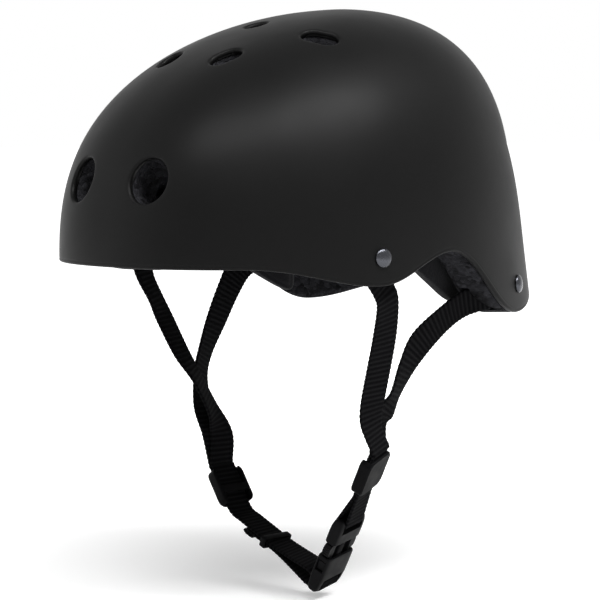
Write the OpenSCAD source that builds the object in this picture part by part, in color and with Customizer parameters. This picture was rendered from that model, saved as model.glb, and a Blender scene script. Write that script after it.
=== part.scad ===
// Skate style bicycle helmet: hard shell, foam liner, comfort pads and a
// four-point webbing harness with a side-release buckle.
// The front faces -Y, the wearer's left is +X, and Z = 0 is the front brim.

/* [Shell] */
// Width across the shell at the brim
shell_w = 207; // [190:1:230]
// Reach of the brim in front of the head centre
front_l = 133; // [120:1:145]
// Reach of the shell behind the head centre
rear_l = 135; // [122:1:148]
// Height of the crown above the brim
crown_h = 135.5; // [125:0.5:150]
// Set-back of the crown behind the head centre
crown_shift = 31; // [22:1:36]
// Outward flare of the shell towards the nape, per unit of height
nape_flare = 0.218; // [0.1:0.01:0.25]
// Wall of the shell
shell_t = 3; // [2:0.5:4]

/* [Rim] */
// Drop of the ear tab below the brim
ear_drop = 10.5; // [6:0.5:14]
// Rise of the side arch above the brim
arch_rise = 5; // [2:0.5:9]
// Drop of the rear tab below the brim
tab_drop = 32; // [28:0.5:36]
// Drop of the nape edge below the brim
nape_drop = 10; // [6:0.5:16]

/* [Vents] */
// Diameter of the two forehead vents
brow_vent_d = 24; // [20:0.5:28]
// Width of the upper vents
top_vent_d = 13.5; // [12:0.5:18]
// Extra length of the upper vents, aslant on the dome
top_vent_extra = 4; // [1:0.5:5]
// Width of the vents beside the crown
side_vent_d = 13; // [11:0.5:16]
// Extra length of the vents beside the crown, mostly round the dome
side_vent_extra = 7; // [4:0.5:9]
// Diameter of the rear vents
rear_vent_d = 24; // [18:0.5:26]

/* [Liner and pads] */
// Wall of the foam liner
liner_t = 18; // [14:0.5:21]
// Play between the shell and the liner
liner_play = 0.3; // [0.2:0.05:0.5]
// Thickness of the comfort pads
pad_t = 9; // [6:0.5:11]
// Diameter of the hook-and-loop discs that hold the pads
disc_d = 16; // [12:1:18]
// Thickness of the hook-and-loop discs
disc_t = 1.6; // [1.2:0.1:2]

/* [Rivets] */
// Diameter of a rivet head
rivet_head_d = 10; // [8:0.5:12]
// Height of a rivet head
rivet_head_h = 2.4; // [1.6:0.1:3]
// Diameter of a rivet shank
rivet_d = 4.8; // [4:0.1:5.5]
// Diameter of a backing washer
washer_d = 12; // [10:0.5:14]
// Thickness of a backing washer
washer_t = 1.2; // [0.8:0.1:1.6]

/* [Webbing] */
// Width of the webbing
web_w = 17; // [15:0.5:18]
// Thickness of the webbing
web_t = 1.6; // [1.2:0.1:1.8]

/* [Sliders] */
// Length of a strap slider along the webbing
slider_l = 23; // [20:0.5:24]
// Side rail of a slider outside its channel
slider_rail = 2; // [1.6:0.1:2.5]
// Thickness of a slider's plate and cross bar
slider_bar_t = 1.5; // [1.2:0.1:2]
// Way that a slider can be pushed up or down the webbing
slider_travel = 2; // [1:0.5:2.5]

/* [Buckle] */
// Width of the side-release buckle
buckle_w = 24.5; // [24:0.5:28]
// Thickness of the buckle
buckle_t = 8.5; // [8:0.25:10]
// Length of the socket half, without its strap bar
socket_l = 15; // [14:0.5:17]
// Length of the prong base
base_l = 7; // [6:0.5:9]
// Length of the prongs that stays open to the fingers
grip_l = 9; // [8:0.5:11]
// Depth that the prongs reach into the socket
plug_l = 12; // [11:0.5:12.5]
// Diameter of the strap bars
bar_d = 4; // [3.6:0.1:4.2]

/* [Keeper] */
// Length of the elastic keeper along the webbing
keeper_l = 4; // [3:0.5:6]
// Wall of the keeper
keeper_t = 1.2; // [1:0.1:1.6]

/* [Hidden] */

black = "#1d1c1b";
foam_grey = "#3a3a3c";
pad_grey = "#2b2b2e";
web_black = "#101012";
steel = "#c9ccd0";

// Exponents that give the side, front and rear profiles their curve
side_curve = [2.63, 2.34];
front_curve = [3.0, 1.76];
rear_curve = [2.53, 2.1];
// Squareness of the plan outline in front of and behind the ears
front_square = 2.4;
rear_square = 2.0;
// Height below which the nape flares outward
flare_z = 60;

// Angles round the head, from the front: 90 is the wearer's left side
brim_end = 36;
ear_at = 72;
arch_at = 100;
tab_at = 136;

around = 72;
rings = 15;
pad_around = 36;
pad_rings = 5;

function profile(s, curve) = pow(1 - pow(s, curve[0]), 1 / curve[1]);
function rise(z, inset) = max(0, min(1, z / (crown_h - inset)));
function half_w(z, inset) = (shell_w / 2 - inset) * profile(rise(z, inset), side_curve);
function front_reach(z, inset) = (front_l - inset) * profile(rise(z, inset), front_curve);
function rear_reach(z, inset) =
    (rear_l - inset) * profile(rise(z, inset), rear_curve) + nape_flare * max(0, flare_z - z);
function plan_r(phi, w, l, q) = pow(pow(abs(sin(phi)) / w, q) + pow(abs(cos(phi)) / l, q), -1 / q);
function reach(phi, z, inset) = cos(phi) >= 0
    ? plan_r(phi, half_w(z, inset), front_reach(z, inset), front_square)
    : plan_r(phi, half_w(z, inset), rear_reach(z, inset), rear_square);

// A point of the dome at an angle and height, so far inside the outer face
function dome(phi, z, inset = 0) = let (r = reach(phi, z, inset), s = rise(z, inset))
    [r * sin(phi), crown_shift * s * s - r * cos(phi), z];
function unit(v) = v / norm(v);
function dome_out(phi, z, inset = 0) = unit(cross(
    dome(phi + 0.5, z, inset) - dome(phi - 0.5, z, inset),
    dome(phi, z + 0.2, inset) - dome(phi, z - 0.2, inset)));

function mix(a, b, x) = a + (b - a) * x;

// Height of the rim at an angle round the head
function ease(x) = (1 - cos(180 * x)) / 2;
function between(a, b, x) = a + (b - a) * ease(x);
function rim(phi) = let (f = phi > 180 ? 360 - phi : phi)
    f < brim_end ? 0
    : f < ear_at ? between(0, -ear_drop, (f - brim_end) / (ear_at - brim_end))
    : f < arch_at ? between(-ear_drop, arch_rise, (f - ear_at) / (arch_at - ear_at))
    : f < tab_at ? between(arch_rise, -tab_drop, (f - arch_at) / (tab_at - arch_at))
    : between(-tab_drop, -nape_drop, (f - tab_at) / (180 - tab_at));

function ring_points(inset, floor_z, cols, rows) = [
    for (k = [0 : rows - 1]) for (i = [0 : cols - 1])
        let (phi = 360 * i / cols, low = is_undef(floor_z) ? rim(phi) : floor_z)
            dome(phi, mix(low, crown_h - inset, sin(90 * k / rows)), inset)
];

// A dome wall between two depths, down to the rim or to a level edge
module dome_wall(outside, inside, floor_z = undef, cols = around, rows = rings) {
    n = cols * rows;
    points = concat(
        ring_points(outside, floor_z, cols, rows), [[0, crown_shift, crown_h - outside]],
        ring_points(inside, floor_z, cols, rows), [[0, crown_shift, crown_h - inside]]);
    top = rows - 1;
    faces = [
        for (i = [0 : cols - 1]) let (j = (i + 1) % cols) each concat(
            [for (k = [0 : top - 1]) let (a = k * cols, b = a + cols) each [
                [a + i, b + i, b + j], [a + i, b + j, a + j],
                [n + 1 + a + i, n + 1 + b + j, n + 1 + b + i],
                [n + 1 + a + i, n + 1 + a + j, n + 1 + b + j]]],
            [[top * cols + i, n, top * cols + j],
             [n + 1 + top * cols + i, n + 1 + top * cols + j, 2 * n + 1],
             [i, j, n + 1 + j], [i, n + 1 + j, n + 1 + i]])
    ];
    polyhedron(points, faces, convexity = 8);
}

// Places its children on the dome with their +Z pointing out of it
module on_dome(phi, z, turn = 0) {
    n = dome_out(phi, z);
    translate(dome(phi, z)) rotate([0, acos(n.z), atan2(n.y, n.x)]) rotate([0, 0, turn]) children();
}

module both_sides() {
    children();
    mirror([1, 0, 0]) children();
}

// Vents, as an angle and a share of the crown height, and how far the ovals turn
brow_vent = [12.3, 0.327];
upper_vent = [14.8, 0.79];
side_vent = [45, 0.864];
side_vent_turn = 62;
top_vent_turn = 40;
centre_vent = [0, 0.926];
upper_rear_vent = [161, 0.8];
rear_vent = [167, 0.45];
vent_depth = liner_t + shell_t + 14;
vent_over = 8;

module round_cut(d) translate([0, 0, -vent_depth]) cylinder(h = vent_depth + vent_over, d = d, $fn = 48);
module oval_cut(d, extra) {
    for (s = [-1, 1]) translate([s * extra / 2, 0, 0]) round_cut(d);
    translate([-extra / 2, -d / 2, -vent_depth]) cube([extra, d, vent_depth + vent_over]);
}

module vents() {
    both_sides() {
        on_dome(brow_vent[0], brow_vent[1] * crown_h) round_cut(brow_vent_d);
        on_dome(upper_vent[0], upper_vent[1] * crown_h, -top_vent_turn) oval_cut(top_vent_d, top_vent_extra);
        on_dome(side_vent[0], side_vent[1] * crown_h, side_vent_turn) oval_cut(side_vent_d, side_vent_extra);
        on_dome(upper_rear_vent[0], upper_rear_vent[1] * crown_h, top_vent_turn)
            oval_cut(top_vent_d, top_vent_extra);
        on_dome(rear_vent[0], rear_vent[1] * crown_h) round_cut(rear_vent_d);
    }
    on_dome(centre_vent[0], centre_vent[1] * crown_h) round_cut(side_vent_d);
}

// Rivets: front pair above the ear tabs, rear pair on the rear tabs
front_rivet = [72.4, 4];
rear_rivet = [136.7, -16.5];
rivet_play = 0.15;
hole_over = 4;
rivet_hole_d = rivet_d + 2 * rivet_play;
web_play = 0.6;

module at_rivets() {
    both_sides() {
        on_dome(front_rivet[0], front_rivet[1]) children();
        on_dome(rear_rivet[0], rear_rivet[1]) children();
    }
}

module outer_shell() color(black) difference() {
    dome_wall(0, shell_t);
    vents();
    at_rivets() translate([0, 0, -shell_t - hole_over])
        cylinder(h = shell_t + 2 * hole_over, d = rivet_hole_d, $fn = 32);
}

// Depth of the webbing's middle below the outer face where a rivet holds it
web_depth = shell_t + web_play + web_t / 2;
washer_top = shell_t + 2 * web_play + web_t;
pocket_depth = washer_top + washer_t + 3;

head_lip = 0.6;
tail_h = 1.6;
tail_d = rivet_d + 2.6;
shank_l = washer_top + washer_t + tail_h / 2;
module strap_rivets() color(steel) at_rivets() {
    cylinder(h = head_lip, d = rivet_head_d, $fn = 40);
    translate([0, 0, head_lip]) intersection() {
        cap = rivet_head_h - head_lip;
        ball = (rivet_head_d * rivet_head_d / 4 + cap * cap) / (2 * cap);
        translate([0, 0, cap - ball]) sphere(r = ball, $fn = 60);
        cylinder(h = cap + 1, d = rivet_head_d, $fn = 40);
    }
    translate([0, 0, -shank_l]) cylinder(h = shank_l, d = rivet_d, $fn = 32);
    translate([0, 0, -washer_top - washer_t - tail_h]) cylinder(h = tail_h, d = tail_d, $fn = 32);
}

module rivet_washers() color(steel) at_rivets()
    translate([0, 0, -washer_top - washer_t]) difference() {
        cylinder(h = washer_t, d = washer_d, $fn = 40);
        translate([0, 0, -1]) cylinder(h = washer_t + 2, d = rivet_hole_d, $fn = 32);
    }

// Rotations of a vector
function spin_x(v, a) = [v.x, v.y * cos(a) - v.z * sin(a), v.y * sin(a) + v.z * cos(a)];
function spin_y(v, a) = [v.x * cos(a) + v.z * sin(a), v.y, v.z * cos(a) - v.x * sin(a)];
function spin_z(v, a) = [v.x * cos(a) - v.y * sin(a), v.x * sin(a) + v.y * cos(a), v.z];

// The latch line: the buckle and the left chin strap lie along it
latch_foot = [20, 0, -181];
latch_tilt = 29;
latch_twist = 14;
function latch_dir(v) = spin_y(spin_z(v, latch_twist), latch_tilt);
function latch_at(p) = latch_foot + latch_dir(p);
module on_latch() translate(latch_foot) rotate([0, latch_tilt, 0]) rotate([0, 0, latch_twist]) children();

// Sliders: each has its own place, lean and twist, so far in from the shell's side
left_slider_in = 41.9;
right_slider_in = 45.1;
left_slider_at = [shell_w / 2 - left_slider_in, -3, -112.8];
left_tilt = 32;
left_lean = 5;
left_twist = 20;
function left_dir(v) = spin_y(spin_x(spin_z(v, left_twist), left_lean), left_tilt);
right_slider_at = [right_slider_in - shell_w / 2, 0, -136];
right_tilt = -35;
function right_dir(v) = spin_y(v, right_tilt);

channel_w = web_w + 1;
channel_t = 2 * web_t + 0.9;
stack_play = 0.15;
stack_x = web_t / 2 + stack_play;
slider_w = channel_w + 2 * slider_rail;
slider_t = channel_t + 2 * slider_bar_t;
slider_bar_l = 4.5;
slider_bar_drop = 2.5;
rail_r = 2;

module rounded_plate(size, r) {
    translate([-size.x / 2, -size.y / 2 + r, 0]) cube([size.x, size.y - 2 * r, size.z]);
    translate([-size.x / 2, -size.y / 2, r]) cube([size.x, size.y, size.z - 2 * r]);
    for (y = [-1, 1], z = [r, size.z - r])
        translate([-size.x / 2, y * (size.y / 2 - r), z]) rotate([0, 90, 0])
            cylinder(h = size.x, r = r, $fn = 32);
}

// Two rails joined by a plate over the outer face and by a bar across the
// inner face, a little below its middle
module slider_body() difference() {
    translate([0, 0, -slider_l / 2]) rounded_plate([slider_t, slider_w, slider_l], rail_r);
    cube([channel_t, channel_w, slider_l + 2], center = true);
    for (low = [slider_bar_l / 2, -slider_bar_l / 2 - slider_l])
        translate([-slider_t, -channel_w / 2, low - slider_bar_drop]) cube([slider_t, channel_w, slider_l]);
}

module slider_left() color(black) translate(left_slider_at)
    rotate([0, left_tilt, 0]) rotate([left_lean, 0, 0]) rotate([0, 0, left_twist]) slider_body();
module slider_right() color(black) translate(right_slider_at)
    rotate([0, right_tilt, 0]) mirror([1, 0, 0]) slider_body();

// Webbing: a flat ribbon swept along points, with the width's direction at each
function bend(p, i, x) = let (
        n = len(p) - 1,
        a = p[max(i - 1, 0)], b = p[i], c = p[min(i + 1, n)], d = p[min(i + 2, n)])
    0.5 * (2 * b + (c - a) * x + (2 * a - 5 * b + 4 * c - d) * x * x + (3 * b - a - 3 * c + d) * x * x * x);
function smooth(p, steps) = concat(
    [for (i = [0 : len(p) - 2]) for (k = [0 : steps - 1]) bend(p, i, k / steps)],
    [p[len(p) - 1]]);

module ribbon(route, widths_at, w, t) {
    n = len(route);
    rings_at = [for (i = [0 : n - 1]) let (
            along = unit(route[min(i + 1, n - 1)] - route[max(i - 1, 0)]),
            side = unit(widths_at[i]),
            out = unit(cross(along, side)))
        each [
            route[i] + side * w / 2 + out * t / 2, route[i] + side * w / 2 - out * t / 2,
            route[i] - side * w / 2 - out * t / 2, route[i] - side * w / 2 + out * t / 2]];
    walls = [for (i = [0 : n - 2]) for (k = [0 : 3]) let (a = 4 * i + k, b = 4 * i + (k + 1) % 4) each
        [[a, b, b + 4], [a, b + 4, a + 4]]];
    last = 4 * (n - 1);
    caps = [[0, 2, 1], [0, 3, 2], [last, last + 1, last + 2], [last, last + 2, last + 3]];
    polyhedron(rings_at, concat(walls, caps), convexity = 6);
}

// Side straps start inside the shell at a rivet, meet above a slider and end
// stacked in it. Each middle point is a share of the way to the meeting
// point, with a sag away from it.
function side_route(start, sags, meet, stop) = concat(
    start, [for (s = sags) mix(start[len(start) - 1], meet, s[0]) + [s[1], s[2], s[3]]], [meet], stop);

// Length of the straight webbing above and below a slider's middle
run_up = slider_l / 2 + slider_travel + 1.7;

// Webbing under the shell at a rivet, so far round from it and so far below it
function seat_out(spot, side, ahead, down) = let (n = dome_out(spot[0] + ahead, spot[1] - down))
    [side * n.x, n.y, n.z];
function seat_at(spot, side, ahead, down) = let (p = dome(spot[0] + ahead, spot[1] - down))
    [side * p.x, p.y, p.z] - web_depth * seat_out(spot, side, ahead, down);
function slider_run(at, dirs, layer) = [
    for (z = [run_up, run_up - 2, run_up / 2, 0.2]) at + dirs[0] * layer + dirs[1] * z];
left_dirs = [left_dir([1, 0, 0]), left_dir([0, 0, 1])];
right_dirs = [right_dir([-1, 0, 0]), right_dir([0, 0, 1])];
// A face direction turned so far from sideways towards the back
function turned(a) = [cos(a), sin(a), 0];
// Width directions: square to the route down to the meeting point, and the
// slider's own from there on
stack_points = 5;
function strap_widths(route, faces, dirs) = concat(
    [for (i = [0 : len(faces) - 1]) unit(cross(faces[i], route[i + 1] - route[max(i - 1, 0)]))],
    [for (i = [1 : stack_points]) cross(dirs[1], dirs[0])]);

left_front_route = side_route(
    [seat_at(front_rivet, 1, 0, -8), seat_at(front_rivet, 1, 0, 8)],
    [[0.19, 1.9, 5.6, 0.7], [0.39, 0.8, 5.3, 0.9], [0.59, -0.4, 3, 1], [0.79, -1.6, 0.4, 1],
     [0.9, -1.8, -0.6, 0.3]],
    left_slider_at + [9.7, -6.9, 21.8],
    slider_run(left_slider_at, left_dirs, stack_x));
left_front_widths = strap_widths(left_front_route, concat(
    [seat_out(front_rivet, 1, 0, -8), seat_out(front_rivet, 1, 0, 8)],
    [for (a = [2, -3, -3, -3, 2]) turned(a)]), left_dirs);
left_rear_route = side_route(
    [seat_at(rear_rivet, 1, 5, 0), seat_at(rear_rivet, 1, -4, 0.8)],
    [[0.11, 2.4, -4.3, 4.5], [0.24, -0.2, -8.9, 9.4], [0.38, 0.4, -11.6, 12.1], [0.56, 1, -12.4, 13.1],
     [0.69, 0.7, -9.6, 10], [0.82, -0.2, -4.7, 5], [0.91, -1.6, -1.2, 2.5]],
    left_slider_at + [3.4, 2.5, 22.8],
    slider_run(left_slider_at, left_dirs, -stack_x));
left_rear_widths = strap_widths(left_rear_route, concat(
    [seat_out(rear_rivet, 1, 5, 0), seat_out(rear_rivet, 1, -4, 0.8)],
    [for (a = [34, 32, 22, 5, 18, 30, 20]) turned(a)]), left_dirs);
right_front_route = side_route(
    [seat_at(front_rivet, -1, 0, -8), seat_at(front_rivet, -1, 0, 8)],
    [[0.09, -0.9, -2.3, -1.2], [0.21, -0.6, -2, -1.4], [0.34, -0.5, -2.6, -0.5],
     [0.52, 5.7, -6.1, -0.8], [0.67, 6.8, -4.6, 0.4], [0.86, 4, -1.9, 1.1]],
    right_slider_at + [-9.4, 1.4, 29],
    slider_run(right_slider_at, right_dirs, -stack_x));
right_front_widths = strap_widths(right_front_route, concat(
    [seat_out(front_rivet, -1, 0, -8), seat_out(front_rivet, -1, 0, 8)],
    [for (a = [20, 26, 18, 22, 38, 36]) -turned(a)]), right_dirs);
right_rear_route = side_route(
    [seat_at(rear_rivet, -1, 5, 0), seat_at(rear_rivet, -1, -4, -2)],
    [[0.06, 0.5, -12, 11.2], [0.13, 6.6, -21.5, 21.6], [0.19, 3.4, -27, 26],
     [0.27, 0.4, -30.2, 28.4], [0.39, -1.8, -29.1, 26.3], [0.53, -6, -24.8, 22.2],
     [0.69, -10.8, -18.1, 19], [0.82, -9, -14.1, 17.8], [0.94, -4.1, -8.4, 10.6]],
    right_slider_at + [-12.2, -2.6, 30],
    slider_run(right_slider_at, right_dirs, stack_x));
right_rear_widths = strap_widths(right_rear_route, concat(
    [seat_out(rear_rivet, -1, 5, 0), seat_out(rear_rivet, -1, -4, -2)],
    [for (a = [-34, -32, -22, -14, 0, 8, 24, 24, 12]) -turned(a)]), right_dirs);

sweep_steps = 3;
module side_strap(route, widths_at)
    ribbon(smooth(route, sweep_steps), smooth(widths_at, sweep_steps), web_w, web_t);
module strap_hole(spot) on_dome(spot[0], spot[1])
    translate([0, 0, -washer_top - 3]) cylinder(h = washer_top + 6, d = rivet_hole_d, $fn = 32);

module strap_left_front() color(web_black) difference() {
    side_strap(left_front_route, left_front_widths);
    strap_hole(front_rivet);
}
module strap_left_rear() color(web_black) difference() {
    side_strap(left_rear_route, left_rear_widths);
    strap_hole(rear_rivet);
}

// The right webbing folds along a level line above its slider, where it lets
// the unbuckled half hang straight
fold_z = right_slider_at.z + 30;
fold_gap = 0.4;
fold_room = 100;
module below_fold(gap) translate([-(shell_w + fold_room) / 2, -fold_room / 2, fold_z - gap])
    mirror([0, 0, 1]) cube(fold_room);
module strap_right_front() color(web_black) difference() {
    side_strap(right_front_route, right_front_widths);
    mirror([1, 0, 0]) strap_hole(front_rivet);
    below_fold(-fold_gap / 2);
}
module strap_right_rear() color(web_black) difference() {
    side_strap(right_rear_route, right_rear_widths);
    mirror([1, 0, 0]) strap_hole(rear_rivet);
    below_fold(-fold_gap / 2);
}
module strap_right_stack() color(web_black) intersection() {
    union() {
        side_strap(right_front_route, right_front_widths);
        side_strap(right_rear_route, right_rear_widths);
    }
    below_fold(fold_gap / 2);
}

// Liner: cut away round the rivets and along the webbing
liner_out = shell_t + liner_play;
liner_in = liner_out + liner_t;
tunnel_w = web_w + 3;
tunnel_t = web_t + 2.4;
tunnel_rings = 16;
module tunnel(route, widths_at) {
    fine = smooth(route, sweep_steps);
    fine_widths = smooth(widths_at, sweep_steps);
    ribbon([for (i = [0 : tunnel_rings]) fine[i]], [for (i = [0 : tunnel_rings]) fine_widths[i]],
        tunnel_w, tunnel_t);
}

module foam_liner() color(foam_grey) difference() {
    dome_wall(liner_out, liner_in);
    vents();
    at_rivets() translate([0, 0, -pocket_depth]) cylinder(h = pocket_depth, d = washer_d + 2, $fn = 32);
    both_sides() {
        tunnel(left_front_route, left_front_widths);
        tunnel(left_rear_route, left_rear_widths);
        tunnel(right_front_route, right_front_widths);
        tunnel(right_rear_route, right_rear_widths);
    }
}

// Pads: crowned cushions on the inside of the liner
pad_cols = 14;
pad_rows = 7;
pad_edge = 2;
function crown_of(u, v) = pad_edge
    + (pad_t - pad_edge) * pow(max(0, (1 - pow(2 * u - 1, 4)) * (1 - pow(2 * v - 1, 4))), 0.5);
module lining_pad(phi_a, phi_b, low_a, low_b, tall, back) {
    cells = [for (r = [0 : pad_rows]) for (c = [0 : pad_cols]) [c / pad_cols, r / pad_rows]];
    function spot(u, v, depth) = dome(mix(phi_a, phi_b, u), mix(low_a, low_b, u) + tall * v, depth);
    outer = [for (q = cells) spot(q[0], q[1], back)];
    inner = [for (q = cells) spot(q[0], q[1], back + crown_of(q[0], q[1]))];
    n = len(cells);
    w = pad_cols + 1;
    skin = [for (r = [0 : pad_rows - 1]) for (c = [0 : pad_cols - 1]) let (a = r * w + c) each [
        [a, a + w, a + w + 1], [a, a + w + 1, a + 1],
        [n + a, n + a + w + 1, n + a + w], [n + a, n + a + 1, n + a + w + 1]]];
    top = pad_rows * w;
    ends = concat(
        [for (c = [0 : pad_cols - 1]) each [
            [c, c + 1, n + c + 1], [c, n + c + 1, n + c],
            [top + c, n + top + c + 1, top + c + 1], [top + c, n + top + c, n + top + c + 1]]],
        [for (r = [0 : pad_rows - 1]) let (a = r * w, b = a + pad_cols) each [
            [a, n + a + w, a + w], [a, n + a, n + a + w],
            [b, b + w, n + b + w], [b, n + b + w, n + b]]]);
    polyhedron(concat(outer, inner), concat(skin, ends), convexity = 6);
}

// Depth of the back of the pads, which the discs hold off the liner
disc_gap = 1;
disc_room = disc_t + disc_gap;
pad_back = liner_in + disc_room;
// The rear side pads stand off further, because the rear straps pass behind
rear_room = web_t + 2.2;
disc_hold = 0.1;
rear_pad_back = liner_in + rear_room;

module brow_pad() color(pad_grey) lining_pad(-38, 38, 4, 4, 22, pad_back);
module side_pad_left() color(pad_grey) lining_pad(50, 84, 6, 10, 26, pad_back);
module side_pad_right() color(pad_grey) mirror([1, 0, 0]) side_pad_left();
module rear_pad_left() color(pad_grey) lining_pad(95, 131, 1, -29.5, 32, rear_pad_back);
module rear_pad_right() color(pad_grey) mirror([1, 0, 0]) rear_pad_left();
module nape_pad() color(pad_grey) lining_pad(150, 210, 0, 0, 30, pad_back);
// The crown pad is a thinner cap that ends between the upper vents
crown_pad_t = pad_t - 2;
crown_pad_h = 12;
module crown_pad() color(pad_grey)
    dome_wall(pad_back, pad_back + crown_pad_t, crown_h - pad_back - crown_pad_h, pad_around, pad_rings);

// A disc whose inner face meets the back of a pad
module disc_on(phi, z, back, room) {
    n = dome_out(phi, z, back);
    translate(dome(phi, z, back)) rotate([0, acos(n.z), atan2(n.y, n.x)])
        translate([0, 0, disc_hold]) cylinder(h = room - disc_gap, d = disc_d, $fn = 32);
}
module pad_discs() color(black) {
    both_sides() {
        disc_on(26, 15, pad_back, disc_room);
        disc_on(67, 21, pad_back, disc_room);
        disc_on(101, 20, rear_pad_back, rear_room);
        disc_on(162, 15, pad_back, disc_room);
    }
    translate([0, crown_shift, crown_h - pad_back + disc_hold]) cylinder(h = disc_t, d = disc_d, $fn = 32);
}

// Buckle, built along the latch line: thickness on X, width on Y
bar_gap = web_t + 0.7;
bar_z = 2.5;
ear_w = (buckle_w - channel_w) / 2;
bar_room = bar_d / 2 + bar_gap + 1.2;
socket_z = bar_z + bar_room;
mouth_z = socket_z + socket_l;
base_z = mouth_z + grip_l;
top_bar_z = base_z + base_l + bar_room;
male_top = top_bar_z + bar_d / 2 + 0.6;
socket_wall = 1.6;
cavity_w = buckle_w - 2 * socket_wall;
cavity_t = buckle_t - 2 * socket_wall;
prong_t = cavity_t - 0.8;
prong_w = 3;
prong_play = 0.5;
prong_y = cavity_w / 2 - prong_w - prong_play;
prong_root = base_z - 0.4;
barb_z = mouth_z - 9;
barb_l = 6;
window_play = 0.6;
corner_r = 2;
guide_w = 5;
guide_t = cavity_t - 1.2;

module strap_ears(low, high) for (s = [-1, 1])
    translate([-buckle_t / 2, s > 0 ? channel_w / 2 : -buckle_w / 2, low])
        cube([buckle_t, ear_w, high - low]);
module strap_bar(z) translate([0, -buckle_w / 2 + 0.5, z]) rotate([-90, 0, 0])
    cylinder(h = buckle_w - 1, d = bar_d, $fn = 32);

module buckle_socket() color(black) on_latch() difference() {
    union() {
        translate([0, 0, socket_z]) rounded_plate([buckle_t, buckle_w, socket_l], corner_r);
        strap_ears(0, socket_z + 3);
        strap_bar(bar_z);
    }
    translate([-cavity_t / 2, -cavity_w / 2, socket_z + 1.8]) cube([cavity_t, cavity_w, socket_l]);
    translate([-prong_t / 2 - window_play / 2, -buckle_w / 2 - 1, barb_z - window_play])
        cube([prong_t + window_play, buckle_w + 2, barb_l + 2 * window_play]);
}

module buckle_base() color(black) on_latch() {
    translate([0, 0, base_z]) rounded_plate([buckle_t - 1, buckle_w, base_l], corner_r);
    strap_ears(base_z + base_l - 3, male_top);
    strap_bar(top_bar_z);
    translate([-guide_t / 2, -guide_w / 2, mouth_z - plug_l]) cube([guide_t, guide_w, plug_l + grip_l + 1]);
}

// A springy arm with a finger pad outside and a barb in the socket's window
finger_l = grip_l - 1.8;
finger_r = 12.3;
finger_out = 0.8;
module prong() {
    tip = mouth_z - plug_l;
    half = prong_w / 2;
    side = buckle_w / 2 - prong_y - half;
    translate([-prong_t / 2, prong_y, tip]) cube([prong_t, prong_w, prong_root - tip]);
    translate([-prong_t / 2, prong_y + half, barb_z]) cube([prong_t, side - 0.3, barb_l]);
    translate([-prong_t / 2, prong_y + half, mouth_z + (grip_l - finger_l) / 2 - 0.1]) intersection() {
        cube([prong_t, side + 4, finger_l]);
        translate([-1, side + finger_out - finger_r, finger_l / 2])
            rotate([0, 90, 0]) cylinder(h = prong_t + 2, r = finger_r, $fn = 64);
    }
}
module prong_rear() color(black) on_latch() prong();
module prong_front() color(black) on_latch() mirror([0, 1, 0]) prong();

// Chin straps: looped round the buckle's bars
loop_play = 0.3;
loop_r = bar_d / 2 + loop_play + web_t / 2;
turn_steps = 8;
function loop_points(z, a, b) = [for (k = [0 : turn_steps]) let (f = mix(a, b, k / turn_steps))
    [loop_r * cos(f), 0, z + loop_r * sin(f)]];

left_run = [for (s = [1, -1]) for (z = [0.2, run_up])
    left_slider_at + left_dirs[0] * s * stack_x - left_dirs[1] * z];
left_loop = [for (p = loop_points(top_bar_z, 0, -180)) latch_at(p)];
left_width = cross(left_dirs[1], left_dirs[0]);
module chin_strap_left() color(web_black) ribbon(
    concat([left_run[0], left_run[1]], left_loop, [left_run[3], left_run[2]]),
    concat([left_width, left_width], [for (p = left_loop) latch_dir([0, 1, 0])], [left_width, left_width]),
    web_w, web_t);

// The right chin strap hangs from its slider, passes the keeper, turns round
// the socket's bar and comes back under itself to a hemmed loose end.
keeper_at = [-19.5, 0, -162];
keeper_tilt = 21;
function keeper_dir(v) = spin_y(v, keeper_tilt);
layer_gap = 0.4;
layer = (web_t + layer_gap) / 2;
keeper_run = 9;
function keeper_point(along, up) = keeper_at + keeper_dir([along, 0, up]);
tail_l = 17;
hem_l = 6;
hem_step = web_t + 0.35;
right_over = [
    right_slider_at + right_dirs[1] * -0.2, right_slider_at + right_dirs[1] * -run_up,
    [-40, 0, -152.8], keeper_point(-6, layer), keeper_point(keeper_run, layer),
    latch_at([-9, 0, bar_z + loop_r + 1.6])];
right_under = [
    latch_at([-7, 0, bar_z - loop_r]), keeper_point(keeper_run, -layer), keeper_point(-tail_l + 3, -layer),
    keeper_point(-tail_l, -layer), keeper_point(-tail_l - 1.6, -layer - hem_step / 2),
    keeper_point(-tail_l, -layer - hem_step), keeper_point(-tail_l + hem_l, -layer - hem_step)];
right_loop = [for (p = loop_points(bar_z, 90, -90)) latch_at(p)];
right_route = concat(smooth(right_over, 3), right_loop, smooth(right_under, 3));
right_last = len(right_route) - 1;
// Its width turns from straight across at the slider to the buckle's own
over_last = 3 * (len(right_over) - 1);
under_first = over_last + turn_steps + 2;
function buckle_share(i) = i <= over_last ? pow(i / over_last, 2)
    : i < under_first ? 1
    : 1 - (i - under_first) / (right_last - under_first);
right_widths = [for (i = [0 : right_last]) mix([0, 1, 0], latch_dir([0, 1, 0]), buckle_share(i))];
module chin_strap_right() color(web_black) ribbon(right_route, right_widths, web_w, web_t);

keeper_hole_t = 2 * web_t + layer_gap + 0.6;
module strap_keeper() color(black) translate(keeper_at) rotate([0, keeper_tilt, 0]) difference() {
    translate([-keeper_l / 2, -channel_w / 2 - keeper_t, -keeper_hole_t / 2 - keeper_t])
        cube([keeper_l, channel_w + 2 * keeper_t, keeper_hole_t + 2 * keeper_t]);
    cube([keeper_l + 2, channel_w, keeper_hole_t], center = true);
}

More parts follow.
